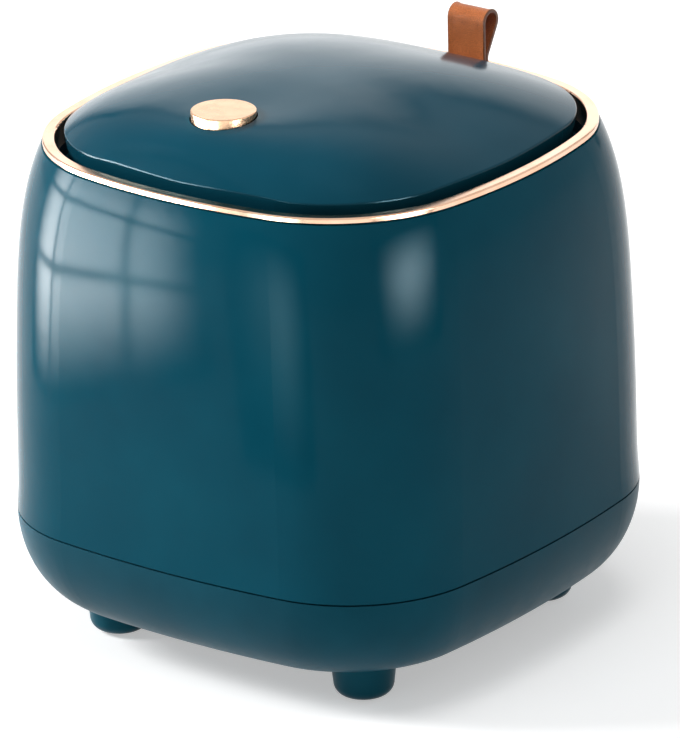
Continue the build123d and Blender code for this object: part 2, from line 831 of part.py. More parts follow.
with BuildPart() as lid_cover:
    add(dome_blank(0, 0, lid_edge_height))
    crease = [
        edge
        for edge in lid_cover.edges()
        if abs(edge.center().Z - crease_height) < crease_rise / 2 and edge.length > lid_wall
    ]
    fillet(crease, crease_rounding)
    add(lid_hollow.part, mode=Mode.SUBTRACT)
    with BuildSketch(Plane.XY.offset(lid_edge_height)):
        with Locations((0, button_y)):
            Circle(button_hole)
    extrude(amount=3 * dome_rise, mode=Mode.SUBTRACT)
    with BuildSketch(Plane.XY.offset(lid_edge_height - lid_wall)):
        with Locations((0, notch_y)):
            Rectangle(lid_notch_width, 4 * lid_notch_depth, align=(Align.CENTER, Align.MIN))
    extrude(amount=3 * dome_rise, mode=Mode.SUBTRACT)
    with BuildSketch(Plane.XY.offset(liner_top)):
        with Locations(*liner_screw_points):
            Circle(liner_screw_shank / 2 + running_clearance)
    extrude(amount=liner_screw_length, mode=Mode.SUBTRACT)
keep(lid_cover.part, "lid_cover")

# Lid liner: flat panel with the hinge arms, open at the back for the ears and at the latch
window_front = keeper_front - lid_wall
window_rear = leg_front + hook_leg + button_travel + side_clearance
window_half = keeper_half_width + 2 * side_clearance
post_middle = guide_half_width - post_width / 2
guide_screw_points = [(-post_middle, button_y), (post_middle, button_y)]
arm_top = hinge_z + knuckle_radius + lid_wall
with BuildPart() as lid_liner:
    with BuildSketch(Plane.XY.offset(liner_bottom)):
        add(rim_section(liner_bottom, liner_inset).face())
        with Locations((0, hinge_open_front)):
            Rectangle(
                2 * hinge_open_width,
                hinge_open_width,
                align=(Align.CENTER, Align.MIN),
                mode=Mode.SUBTRACT,
            )
        with Locations((0, (window_front + window_rear) / 2)):
            Rectangle(2 * window_half, window_rear - window_front, mode=Mode.SUBTRACT)
        with Locations(*liner_screw_points):
            Circle(liner_screw_shank / 2 + close_clearance, mode=Mode.SUBTRACT)
        with Locations(*guide_screw_points):
            Circle(small_screw_shank / 2 + close_clearance, mode=Mode.SUBTRACT)
    extrude(amount=liner_thickness)
    for start in (knuckle[0], -knuckle[1]):
        with BuildSketch(Plane.YZ.offset(start)):
            with Locations((hinge_y, hinge_z)):
                Circle(knuckle_radius)
            with Locations((hinge_open_front, liner_bottom)):
                Rectangle(knuckle_width, arm_top - liner_bottom, align=(Align.MAX, Align.MIN))
            make_hull()
        extrude(amount=knuckle_width)
    lug_bottom = hinge_z + spring_turn_radius + spring_wire / 2 + close_clearance
    lug_width = knuckle_width / 2 + side_clearance
    for start in (knuckle[0] - lug_width / 2, -knuckle[0] - lug_width / 2):
        with BuildSketch(Plane.XY.offset(lug_bottom)):
            with Locations((start + lug_width / 2, hinge_y - hinge_leg_forward + lug_depth / 2)):
                Rectangle(lug_width, lug_depth)
        extrude(amount=lug_thickness)
    with BuildSketch(Plane.YZ.offset(-ear_outer[1])):
        with Locations((hinge_y, hinge_z)):
            Circle(pin_radius + running_clearance)
    extrude(amount=2 * ear_outer[1], mode=Mode.SUBTRACT)
keep(lid_liner.part, "lid_liner")

with BuildPart() as liner_screws:
    for x, y in liner_screw_points:
        frame = Plane(origin=(x, y, liner_bottom))
        add(
            screw(
                frame,
                liner_screw_shank,
                liner_screw_length,
                liner_screw_head,
                liner_screw_head_height,
            )
        )
keep(liner_screws.part, "liner_screws")

# Latch slider: flat bar with a hooked leg at the front and a sloped window for the wedge
slider_bottom = liner_top + guide_plate + slider_lift
slider_top = slider_bottom + slider_thickness
slider_end = button_y + slider_rear
window_y_front = button_y - stem_radius - button_travel - wedge_clearance
incline_low = button_y - stem_radius / 4
incline_high = incline_low + slider_thickness
with BuildPart() as latch_slider:
    with BuildSketch(Plane.YZ.offset(-slider_half_width)):
        with BuildLine():
            Polyline(
                (leg_front, slider_top),
                (leg_front, hook_top),
                (hook_tip, hook_top),
                (hook_tip + hook_thickness / 2, hook_top - hook_thickness),
                (leg_front + hook_leg, hook_top - hook_thickness),
                (leg_front + hook_leg, slider_bottom),
                (slider_end, slider_bottom),
                (slider_end, slider_top),
                close=True,
            )
        make_face()
    extrude(amount=2 * slider_half_width)
    window_half_width = stem_radius + button_gap
    with BuildSketch(Plane.YZ.offset(-window_half_width)):
        with BuildLine():
            Polyline(
                (window_y_front, slider_bottom),
                (incline_low, slider_bottom),
                (incline_high, slider_top),
                (window_y_front, slider_top),
                close=True,
            )
        make_face()
    extrude(amount=2 * window_half_width, mode=Mode.SUBTRACT)
keep(latch_slider.part, "latch_slider")

# Latch guide: tray with two rails, a rear wall for the spring and a bridge for the stem
guide_top = liner_top + guide_plate
guide_rear = slider_end + latch_spring_length
bridge_top = chimney_bottom - 2 * side_clearance
bridge_bottom = bridge_top - bridge_thickness
guide_front = window_rear + side_clearance
with BuildPart() as latch_guide:
    with BuildSketch(Plane.XY.offset(liner_top)):
        with Locations((0, guide_front)):
            Rectangle(
                2 * guide_half_width,
                guide_rear + guide_plate - guide_front,
                align=(Align.CENTER, Align.MIN),
            )
    extrude(amount=guide_plate)
    rail_middle = slider_half_width + free_clearance + guide_plate / 2
    with BuildSketch(Plane.XY.offset(guide_top)):
        for x in (-rail_middle, rail_middle):
            with Locations((x, guide_front)):
                Rectangle(
                    guide_plate,
                    guide_rear + guide_plate - guide_front,
                    align=(Align.CENTER, Align.MIN),
                )
        with Locations((0, guide_rear)):
            Rectangle(2 * rail_middle, guide_plate, align=(Align.CENTER, Align.MIN))
    extrude(amount=slider_thickness + guide_plate)
    with BuildSketch(Plane.XY.offset(guide_top)):
        with Locations((-post_middle, button_y), (post_middle, button_y)):
            Rectangle(post_width, 3 * stem_radius)
    extrude(amount=bridge_bottom - guide_top)
    with BuildSketch(Plane.XY.offset(bridge_bottom)):
        with Locations((0, button_y)):
            Rectangle(2 * guide_half_width, 3 * stem_radius)
            Circle(stem_radius + close_clearance, mode=Mode.SUBTRACT)
    extrude(amount=bridge_thickness)
    with BuildSketch(Plane.XY.offset(liner_top)):
        with Locations(*guide_screw_points):
            Circle(small_screw_shank / 2 + running_clearance)
    extrude(amount=liner_screw_length, mode=Mode.SUBTRACT)
keep(latch_guide.part, "latch_guide")

with BuildPart() as guide_screws:
    for x, y in guide_screw_points:
        frame = Plane(origin=(x, y, liner_bottom))
        add(
            screw(
                frame,
                small_screw_shank,
                liner_screw_length,
                small_screw_head,
                small_screw_head_height,
            )
        )
keep(guide_screws.part, "guide_screws")

# Latch return spring between the slider's rear end and the guide's rear wall
latch_coil_length = latch_spring_length - latch_spring_wire - 2 * spring_end_gap
latch_spring = coil(
    Plane(
        origin=(
            0,
            slider_end + latch_spring_wire / 2 + spring_end_gap,
            (slider_bottom + slider_top) / 2,
        ),
        x_dir=(1, 0, 0),
        z_dir=(0, 1, 0),
    ),
    latch_spring_radius,
    latch_coil_length / latch_spring_turns,
    latch_spring_turns,
    latch_spring_wire,
)
keep(latch_spring, "latch_spring")

# Button cap: plated disc with a skirt that slides in the lid's guide tube
with BuildPart(Plane(origin=(0, button_y, skirt_rest))) as button_cap:
    Cylinder(button_radius, button_skirt, align=(Align.CENTER, Align.CENTER, Align.MIN))
    fillet(button_cap.edges().group_by(Axis.Z)[-1], button_gap)
    with BuildSketch(Plane(origin=(0, button_y, skirt_rest))):
        Circle(button_radius - button_wall)
    extrude(amount=button_skirt - button_wall, mode=Mode.SUBTRACT)
keep(button_cap.part, "button_cap")

# Button stem: flange under the cap, snap collar below the bridge, wedge that drives the latch
cap_underside = button_top - button_wall
flange_bottom = cap_underside - stem_flange_thickness
stem_tip = slider_top - free_clearance - side_clearance
with BuildPart(Plane(origin=(0, button_y, stem_tip))) as button_stem:
    Cylinder(
        stem_radius, cap_underside - stem_tip, align=(Align.CENTER, Align.CENTER, Align.MIN)
    )
    with BuildSketch(Plane(origin=(0, button_y, flange_bottom))):
        Circle(stem_flange_radius)
    extrude(amount=stem_flange_thickness)
    with BuildSketch(Plane(origin=(0, button_y, bridge_bottom - free_clearance))):
        Circle(collar_radius)
    extrude(amount=-collar_thickness)
    with BuildSketch(Plane.YZ.offset(-2 * stem_radius)):
        with BuildLine():
            low = incline_low - wedge_gap - (slider_bottom - stem_tip)
            Polyline(
                (low, stem_tip),
                (low + 2 * stem_radius, stem_tip),
                (low + 2 * stem_radius, stem_tip + 2 * stem_radius),
                close=True,
            )
        make_face()
    extrude(amount=4 * stem_radius, mode=Mode.SUBTRACT)
keep(button_stem.part, "button_stem")

# Button return spring round the stem, between the bridge and the stem's flange
button_coil_length = flange_bottom - bridge_top - spring_wire - 2 * spring_end_gap
button_spring = coil(
    Plane(origin=(0, button_y, bridge_top + spring_wire / 2 + spring_end_gap)),
    button_spring_radius,
    button_coil_length / button_spring_turns,
    button_spring_turns,
    spring_wire,
)
keep(button_spring, "button_spring")

print("nodes", len(kept), "button top", round(button_top, 2), "dome top", round(dome_height(0, 0), 2))
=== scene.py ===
import logging
import math
from dataclasses import dataclass, field
from enum import Enum
from typing import Any

import bpy
from mathutils import Matrix, Vector


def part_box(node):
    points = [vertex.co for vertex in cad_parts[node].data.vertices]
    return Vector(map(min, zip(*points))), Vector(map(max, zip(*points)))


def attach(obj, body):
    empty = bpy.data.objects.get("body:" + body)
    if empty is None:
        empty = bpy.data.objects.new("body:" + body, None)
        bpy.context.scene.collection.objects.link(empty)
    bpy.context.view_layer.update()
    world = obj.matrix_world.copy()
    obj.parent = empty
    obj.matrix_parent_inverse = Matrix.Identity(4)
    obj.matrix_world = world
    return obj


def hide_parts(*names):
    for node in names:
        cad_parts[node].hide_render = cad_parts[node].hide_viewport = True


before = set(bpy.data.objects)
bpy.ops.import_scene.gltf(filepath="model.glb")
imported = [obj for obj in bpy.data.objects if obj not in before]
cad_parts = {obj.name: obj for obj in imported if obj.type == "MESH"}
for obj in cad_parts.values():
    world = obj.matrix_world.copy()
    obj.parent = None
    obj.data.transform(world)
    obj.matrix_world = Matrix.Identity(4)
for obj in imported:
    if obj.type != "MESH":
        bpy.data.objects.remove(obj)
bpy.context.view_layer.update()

log = logging.getLogger("desktop_bin")
MILLIMETRE = 0.001


def linear(hex_colour: str) -> tuple[float, float, float, float]:
    """Turn an sRGB hex colour into linear RGBA.

    Args:
        hex_colour: Six hex digits with a leading hash.

    Returns:
        Linear red, green, blue and an alpha of 1.
    """
    parts = [int(hex_colour[i : i + 2], 16) / 255 for i in (1, 3, 5)]
    red, green, blue = [c / 12.92 if c <= 0.04045 else ((c + 0.055) / 1.055) ** 2.4 for c in parts]
    return red, green, blue, 1.0


def per_metre(size_mm: float) -> float:
    """Texture scale at which one cell of a pattern is that many millimetres wide."""
    return 1 / (size_mm * MILLIMETRE)


def add_node(
    tree: bpy.types.NodeTree, kind: str, inputs: dict | None = None, **settings: Any
) -> bpy.types.Node:
    """Add a node with its settings and links.

    Args:
        tree: The node tree that gets the node.
        kind: Blender's name of the node type.
        inputs: Input name or index to a value, or to the output socket that feeds it.
        settings: Properties of the node itself.

    Returns:
        The new node.
    """
    node = tree.nodes.new(kind)
    for name, value in settings.items():
        setattr(node, name, value)
    for name, value in (inputs or {}).items():
        if isinstance(value, bpy.types.NodeSocket):
            tree.links.new(value, node.inputs[name])
        else:
            node.inputs[name].default_value = value
    return node


class Slot(Enum):
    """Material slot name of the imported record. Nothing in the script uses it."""

    LEATHER = "tan_leather"


@dataclass(frozen=True)
class Finish:
    """A finish that covers whole pieces, in the object's own millimetres."""

    name: str

    def fill(self, tree: bpy.types.NodeTree, surface: bpy.types.Node) -> None:
        """Add the nodes that give the surface its colour and relief."""
        raise NotImplementedError

    def material(self) -> bpy.types.Material:
        """Build the material, once for each name.

        Returns:
            The material with its node tree.
        """
        if self.name in bpy.data.materials:
            return bpy.data.materials[self.name]
        made = bpy.data.materials.new(self.name)
        made.use_nodes = True
        made.node_tree.nodes.clear()
        surface = add_node(made.node_tree, "ShaderNodeBsdfPrincipled")
        add_node(made.node_tree, "ShaderNodeOutputMaterial", {"Surface": surface.outputs[0]})
        self.fill(made.node_tree, surface)
        return made


def noise(tree: bpy.types.NodeTree, size_mm: float, detail: float = 3.0, stretch: tuple = (1, 1, 1)) -> Any:
    """Noise whose patches have a real size, in the piece's own coordinates.

    Args:
        tree: The node tree that gets the nodes.
        size_mm: Width of one patch.
        detail: Octaves of finer noise.
        stretch: Factors on the pattern's frequency along X, Y and Z.

    Returns:
        The output socket with the noise's value, from 0 to 1.
    """
    place = add_node(tree, "ShaderNodeTexCoord")
    scaled = add_node(
        tree, "ShaderNodeVectorMath", {0: place.outputs["Object"], 1: stretch}, operation="MULTIPLY"
    )
    texture = add_node(
        tree,
        "ShaderNodeTexNoise",
        {"Vector": scaled.outputs[0], "Scale": per_metre(size_mm), "Detail": detail},
    )
    return texture.outputs[0]


def spread(tree: bpy.types.NodeTree, value: Any, low: float, high: float) -> Any:
    """Map a noise value from its usual range to a range between low and high."""
    usual_low, usual_high = 0.3, 0.7
    ranged = add_node(
        tree,
        "ShaderNodeMapRange",
        {
            "Value": value,
            "From Min": usual_low,
            "From Max": usual_high,
            "To Min": low,
            "To Max": high,
        },
    )
    return ranged.outputs[0]


def blend_colours(tree: bpy.types.NodeTree, share: Any, first: str, second: str) -> Any:
    """Mix two hex colours by a share and return the output socket."""
    mixed = add_node(
        tree,
        "ShaderNodeMix",
        {0: share, 6: linear(first), 7: linear(second)},
        data_type="RGBA",
    )
    return mixed.outputs[2]


def relief(
    tree: bpy.types.NodeTree, height: Any, depth_mm: float, strength: float, under: Any = None
) -> Any:
    """Bump of a real depth, on top of an earlier one if there is one.

    Args:
        tree: The node tree that gets the node.
        height: Socket with heights from 0 to 1.
        depth_mm: Depth at a height of 1.
        strength: Share of the bump that is kept.
        under: Normal output of an earlier bump.

    Returns:
        The output socket with the normal.
    """
    inputs = {"Height": height, "Distance": depth_mm * MILLIMETRE, "Strength": strength}
    if under is not None:
        inputs["Normal"] = under
    return add_node(tree, "ShaderNodeBump", inputs).outputs[0]


@dataclass(frozen=True)
class PolishedAbs(Finish):
    """Injection-moulded ABS from a polished tool, dyed through.

    The eye sees deep colour under a clear mirror-like skin, with the faint waviness that
    shrinkage leaves.
    """

    deep: str = "#064354"
    pale: str = "#084A5B"
    skin_tint: str = "#B4C2C6"
    roughness: float = 0.13
    ior: float = 1.52
    level: float = 0.07
    wave_mm: float = 26.0
    wave_depth_mm: float = 0.02
    cloud_mm: float = 45.0

    def fill(self, tree: bpy.types.NodeTree, surface: bpy.types.Node) -> None:
        """Deep dye with slight clouding, a tinted clear skin and long shallow waves."""
        clouds = spread(tree, noise(tree, self.cloud_mm), 0.0, 1.0)
        colour = blend_colours(tree, clouds, self.deep, self.pale)
        tree.links.new(colour, surface.inputs["Base Color"])
        handled = spread(tree, noise(tree, self.cloud_mm / 3), self.roughness * 0.85, self.roughness * 1.15)
        tree.links.new(handled, surface.inputs["Roughness"])
        surface.inputs["IOR"].default_value = self.ior
        surface.inputs["Specular IOR Level"].default_value = self.level
        surface.inputs["Specular Tint"].default_value = linear(self.skin_tint)
        waves = noise(tree, self.wave_mm, 1.0)
        normal = relief(tree, waves, self.wave_depth_mm, 0.4)
        tree.links.new(normal, surface.inputs["Normal"])


@dataclass(frozen=True)
class SatinAbs(Finish):
    """Injection-moulded ABS from a spark-eroded tool.

    The eye sees the same dye with broad soft highlights. The real grain is about 0.05 mm; it is
    drawn at 0.6 mm so that it still shows.
    """

    deep: str = "#0C3F4E"
    pale: str = "#104858"
    skin_tint: str = "#7FB4C2"
    roughness: float = 0.36
    ior: float = 1.52
    level: float = 0.1
    grain_mm: float = 0.6
    grain_depth_mm: float = 0.02
    cloud_mm: float = 30.0

    def fill(self, tree: bpy.types.NodeTree, surface: bpy.types.Node) -> None:
        """Clouded dye and a fine eroded grain."""
        clouds = spread(tree, noise(tree, self.cloud_mm), 0.0, 1.0)
        tree.links.new(blend_colours(tree, clouds, self.deep, self.pale), surface.inputs["Base Color"])
        rubbed = spread(tree, noise(tree, self.cloud_mm / 4), self.roughness * 0.9, self.roughness * 1.1)
        tree.links.new(rubbed, surface.inputs["Roughness"])
        surface.inputs["IOR"].default_value = self.ior
        surface.inputs["Specular IOR Level"].default_value = self.level
        surface.inputs["Specular Tint"].default_value = linear(self.skin_tint)
        grain = noise(tree, self.grain_mm, 2.0)
        tree.links.new(relief(tree, grain, self.grain_depth_mm, 0.5), surface.inputs["Normal"])


@dataclass(frozen=True)
class RoseGoldPlate(Finish):
    """Bright rose-gold vacuum plating on a moulded ring.

    The eye sees a warm pink mirror, slightly softened, with hairline polishing marks.
    """

    bright: str = "#FBD3B8"
    warm: str = "#F3C3A2"
    roughness: float = 0.17
    patch_mm: float = 14.0
    hairline_mm: float = 0.5
    hairline_depth_mm: float = 0.0012

    def fill(self, tree: bpy.types.NodeTree, surface: bpy.types.Node) -> None:
        """Warm metal with slight patches and hairlines that run round the bin."""
        patches = spread(tree, noise(tree, self.patch_mm), 0.0, 1.0)
        tree.links.new(blend_colours(tree, patches, self.bright, self.warm), surface.inputs["Base Color"])
        surface.inputs["Metallic"].default_value = 1.0
        worn = spread(tree, noise(tree, self.patch_mm / 3), self.roughness * 0.8, self.roughness * 1.2)
        tree.links.new(worn, surface.inputs["Roughness"])
        hairlines = noise(tree, self.hairline_mm, 2.0, (0.2, 0.2, 1.0))
        tree.links.new(relief(tree, hairlines, self.hairline_depth_mm, 0.3), surface.inputs["Normal"])


@dataclass(frozen=True)
class Steel(Finish):
    """Small steel parts: zinc-plated screws, rolled sheet or drawn wire.

    The eye sees a cool grey metal whose fine marks run with the way it was made.
    """

    bright: str = "#B9BCC0"
    dull: str = "#8C9096"
    roughness: float = 0.3
    mark_mm: float = 0.5
    mark_depth_mm: float = 0.006

    def fill(self, tree: bpy.types.NodeTree, surface: bpy.types.Node) -> None:
        """Grey metal with patches of plating and fine marks."""
        patches = spread(tree, noise(tree, self.mark_mm * 6), 0.0, 1.0)
        tree.links.new(blend_colours(tree, patches, self.bright, self.dull), surface.inputs["Base Color"])
        surface.inputs["Metallic"].default_value = 1.0
        worn = spread(tree, noise(tree, self.mark_mm * 2), self.roughness * 0.8, self.roughness * 1.25)
        tree.links.new(worn, surface.inputs["Roughness"])
        marks = noise(tree, self.mark_mm, 3.0, (1.0, 0.25, 1.0))
        tree.links.new(relief(tree, marks, self.mark_depth_mm, 0.4), surface.inputs["Normal"])


@dataclass(frozen=True)
class Acetal(Finish):
    """Natural acetal for the sliding latch and the button's stem.

    The eye sees a waxy off-white that light enters a little.
    """

    body: str = "#D9D8D0"
    shade: str = "#CBC9BE"
    roughness: float = 0.34
    ior: float = 1.48
    soak_share: float = 0.15
    soak_mm: float = 1.2
    patch_mm: float = 6.0
    scuff_depth_mm: float = 0.01

    def fill(self, tree: bpy.types.NodeTree, surface: bpy.types.Node) -> None:
        """Off-white with faint flow marks and a little soaking-in of light."""
        flow = spread(tree, noise(tree, self.patch_mm), 0.0, 1.0)
        tree.links.new(blend_colours(tree, flow, self.body, self.shade), surface.inputs["Base Color"])
        surface.inputs["Roughness"].default_value = self.roughness
        surface.inputs["IOR"].default_value = self.ior
        surface.inputs["Subsurface Weight"].default_value = self.soak_share
        surface.inputs["Subsurface Scale"].default_value = self.soak_mm * MILLIMETRE
        scuffs = noise(tree, self.patch_mm / 10, 2.0)
        tree.links.new(relief(tree, scuffs, self.scuff_depth_mm, 0.3), surface.inputs["Normal"])


@dataclass(frozen=True)
class Rubber(Finish):
    """Moulded nitrile rubber pads and bumpers.

    The eye sees a dull black with a dusty bloom.
    """

    black: str = "#17181A"
    bloom: str = "#26282A"
    roughness: float = 0.75
    speck_mm: float = 0.7
    speck_depth_mm: float = 0.03

    def fill(self, tree: bpy.types.NodeTree, surface: bpy.types.Node) -> None:
        """Black with bloom and a fine moulded texture."""
        dust = spread(tree, noise(tree, self.speck_mm * 4, 4.0), 0.0, 1.0)
        tree.links.new(blend_colours(tree, dust, self.black, self.bloom), surface.inputs["Base Color"])
        surface.inputs["Roughness"].default_value = self.roughness
        specks = noise(tree, self.speck_mm, 3.0)
        tree.links.new(relief(tree, specks, self.speck_depth_mm, 0.5), surface.inputs["Normal"])


@dataclass(frozen=True)
class TanLeather(Finish):
    """Vegetable-tanned calf leather, dyed tan and lightly waxed.

    The eye sees a warm brown that shifts between patches, with small close pores.
    """

    light: str = "#CC7440"
    dark: str = "#B06030"
    pore_colour: str = "#96542A"
    roughness: float = 0.52
    ior: float = 1.45
    patch_mm: float = 5.0
    pore_mm: float = 0.55
    pore_depth_mm: float = 0.06
    pore_share: float = 0.22
    fuzz: float = 0.12
    fuzz_roughness: float = 0.5
    crease_mm: float = 2.4
    crease_depth_mm: float = 0.08

    def fill(self, tree: bpy.types.NodeTree, surface: bpy.types.Node) -> None:
        """Patchy dye, pores between pebbles, and faint creases across the strap."""
        patches = spread(tree, noise(tree, self.patch_mm, 4.0), 0.0, 1.0)
        dyed = blend_colours(tree, patches, self.light, self.dark)
        place = add_node(tree, "ShaderNodeTexCoord")
        pebbles = add_node(
            tree,
            "ShaderNodeTexVoronoi",
            {"Vector": place.outputs["Object"], "Scale": per_metre(self.pore_mm)},
            feature="DISTANCE_TO_EDGE",
        )
        open_skin = add_node(
            tree,
            "ShaderNodeMapRange",
            {"Value": pebbles.outputs[0], "From Min": 0.0, "From Max": self.pore_share},
        )
        pored = add_node(
            tree,
            "ShaderNodeMix",
            {0: open_skin.outputs[0], 6: linear(self.pore_colour), 7: dyed},
            data_type="RGBA",
        )
        tree.links.new(pored.outputs[2], surface.inputs["Base Color"])
        waxed = spread(tree, noise(tree, self.patch_mm / 2), self.roughness * 0.85, self.roughness * 1.15)
        tree.links.new(waxed, surface.inputs["Roughness"])
        surface.inputs["IOR"].default_value = self.ior
        surface.inputs["Sheen Weight"].default_value = self.fuzz
        surface.inputs["Sheen Roughness"].default_value = self.fuzz_roughness
        creases = noise(tree, self.crease_mm, 3.0, (0.35, 1.4, 1.4))
        folded = relief(tree, creases, self.crease_depth_mm, 0.5)
        pores = relief(tree, open_skin.outputs[0], self.pore_depth_mm, 0.5, folded)
        tree.links.new(pores, surface.inputs["Normal"])


@dataclass(frozen=True)
class EdgePaint(Finish):
    """Burnished, dyed cut edge of the leather strap.

    The eye sees a darker, smoother line with faint layers of fibre.
    """

    dark: str = "#5B2E14"
    light: str = "#7A4420"
    roughness: float = 0.42
    fibre_mm: float = 0.35
    fibre_depth_mm: float = 0.04

    def fill(self, tree: bpy.types.NodeTree, surface: bpy.types.Node) -> None:
        """Dark dye over fibres that run along the strap."""
        fibres = spread(tree, noise(tree, self.fibre_mm, 3.0, (1.0, 0.4, 0.4)), 0.0, 1.0)
        tree.links.new(blend_colours(tree, fibres, self.dark, self.light), surface.inputs["Base Color"])
        surface.inputs["Roughness"].default_value = self.roughness
        tree.links.new(relief(tree, fibres, self.fibre_depth_mm, 0.4), surface.inputs["Normal"])


ZINC_PLATE = Steel("zinc_plated_steel")
SPRING_WIRE = Steel("drawn_spring_wire", bright="#9EA2A8", dull="#74787F", roughness=0.26, mark_mm=0.3)
NITRILE = Rubber("nitrile_rubber")


def dress(node: str, finish: Finish) -> None:
    """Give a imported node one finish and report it."""
    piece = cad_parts[node]
    piece.data.materials.clear()
    piece.data.materials.append(finish.material())
    log.info("%s: %s", node, finish.name)


@dataclass
class LowerBody:
    """Shell, pan and feet that stay on the table."""

    shell_finish: Finish = PolishedAbs("polished_abs_teal")
    pan_finish: Finish = SatinAbs("satin_abs_teal")
    foot_finish: Finish = SatinAbs("satin_abs_feet", deep="#124A5A", pale="#16505F", roughness=0.33)
    pad_finish: Finish = NITRILE
    screw_finish: Finish = ZINC_PLATE
    corners: tuple = ("front_left", "front_right", "rear_left", "rear_right")

    def dress_pieces(self) -> None:
        """Finish the shell, the pan, the feet, their pads and screws."""
        dress("outer_shell", self.shell_finish)
        dress("base_pan", self.pan_finish)
        for corner in self.corners:
            dress("foot_" + corner, self.foot_finish)
            dress("pad_" + corner, self.pad_finish)
        dress("foot_screws", self.screw_finish)


@dataclass
class LeatherLoop:
    """Leather strap folded over a finger's width, both tails clamped behind the ring.

    Lengths in metres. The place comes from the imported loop's own box.
    """

    thickness: float = 0.0013
    crown_radius: float = 0.00435
    neck_drop: float = 0.0158
    neck_radius: float = 0.004
    edge_radius: float = 0.00032
    step: float = 0.00035
    edge_steps: int = 4
    face_steps: int = 12
    skin: Finish = TanLeather("tan_calf_leather")
    edge: Finish = EdgePaint("burnished_leather_edge")

    def centre_line(self) -> list[Vector]:
        """Points along the middle of the leather, from the front tail over the crown and down.

        Returns:
            Points in the plane X = 0, about a step apart.
        """
        low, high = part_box("leather_loop")
        front, rear = low.y + self.thickness / 2, low.y + self.thickness * 1.5
        centre = Vector((0, low.y + self.crown_radius, high.z - self.crown_radius))
        radius = self.crown_radius - self.thickness / 2
        neck = Vector((0, rear, high.z - self.neck_drop))
        away = neck - centre
        leave = math.atan2(away.z, away.y) + math.acos(radius / away.length)
        corners = [Vector((0, front, low.z)), Vector((0, front, centre.z))]
        points = self.run(corners[0], corners[1])
        sweep = math.pi - leave
        count = math.ceil(radius * sweep / self.step)
        for index in range(1, count):
            angle = math.pi - sweep * index / count
            points.append(centre + radius * Vector((0, math.cos(angle), math.sin(angle))))
        tangent = centre + radius * Vector((0, math.cos(leave), math.sin(leave)))
        slope = (neck - tangent).normalized()
        down = Vector((0, 0, -1))
        turn = slope.angle(down)
        trim = self.neck_radius * math.tan(turn / 2)
        points += self.run(tangent, neck - slope * trim)
        middle = neck + down * trim + Vector((0, 1, 0)) * self.neck_radius
        bends = math.ceil(self.neck_radius * turn / self.step)
        for index in range(1, bends):
            angle = math.pi - turn * (1 - index / bends)
            points.append(middle + self.neck_radius * Vector((0, math.cos(angle), math.sin(angle))))
        points += self.run(neck + down * trim, Vector((0, rear, low.z)))
        return points

    def run(self, start: Vector, end: Vector) -> list[Vector]:
        """Evenly spaced points from start to end, both included."""
        count = max(1, round((end - start).length / self.step))
        return [start.lerp(end, index / count) for index in range(count + 1)]

    def section(self, half_width: float) -> list[tuple[float, float]]:
        """Rounded rectangle of the leather, as (across, through) points.

        Args:
            half_width: Half the strap's width.

        Returns:
            Points round the section, counter-clockwise.
        """
        half = self.thickness / 2
        points = []
        for quarter, (sx, sy) in enumerate(((1, 1), (-1, 1), (-1, -1), (1, -1))):
            cx, cy = sx * (half_width - self.edge_radius), sy * (half - self.edge_radius)
            for index in range(self.edge_steps + 1):
                angle = math.pi / 2 * (quarter + index / self.edge_steps)
                across = cx + self.edge_radius * math.cos(angle)
                through = cy + self.edge_radius * math.sin(angle)
                points.append((across, through))
            if quarter in (0, 2):
                for index in range(1, self.face_steps):
                    points.append((cx - 2 * cx * index / self.face_steps, cy))
        return points

    def build(self) -> None:
        """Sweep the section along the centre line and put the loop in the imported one's place."""
        low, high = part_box("leather_loop")
        line = self.centre_line()
        section = self.section((high.x - low.x) / 2)
        vertices, faces, edge_faces = [], [], []
        for index, point in enumerate(line):
            before, after = line[max(index - 1, 0)], line[min(index + 1, len(line) - 1)]
            along = (after - before).normalized()
            through = Vector((0, -along.z, along.y))
            vertices += [point + Vector((across, 0, 0)) + through * depth for across, depth in section]
        around = len(section)
        rim = (high.x - low.x) / 2 - self.edge_radius
        for ring in range(len(line) - 1):
            for side in range(around):
                after = (side + 1) % around
                faces.append(
                    (
                        ring * around + side,
                        ring * around + after,
                        (ring + 1) * around + after,
                        (ring + 1) * around + side,
                    )
                )
                middle = abs(section[side][0] + section[after][0]) / 2
                edge_faces.append(1 if middle > rim else 0)
        faces.append(tuple(reversed(range(around))))
        faces.append(tuple(range(len(vertices) - around, len(vertices))))
        edge_faces += [1, 1]
        mesh = bpy.data.meshes.new("leather_pull_loop")
        mesh.from_pydata([tuple(v) for v in vertices], [], faces)
        mesh.materials.append(self.skin.material())
        mesh.materials.append(self.edge.material())
        for polygon, slot in zip(mesh.polygons, edge_faces):
            polygon.material_index = slot
            polygon.use_smooth = True
        mesh.update()
        loop = bpy.data.objects.new("leather_pull_loop", mesh)
        bpy.context.scene.collection.objects.link(loop)
        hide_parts("leather_loop")
        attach(loop, "top_frame")
        log.info("leather_pull_loop: %d faces", len(mesh.polygons))


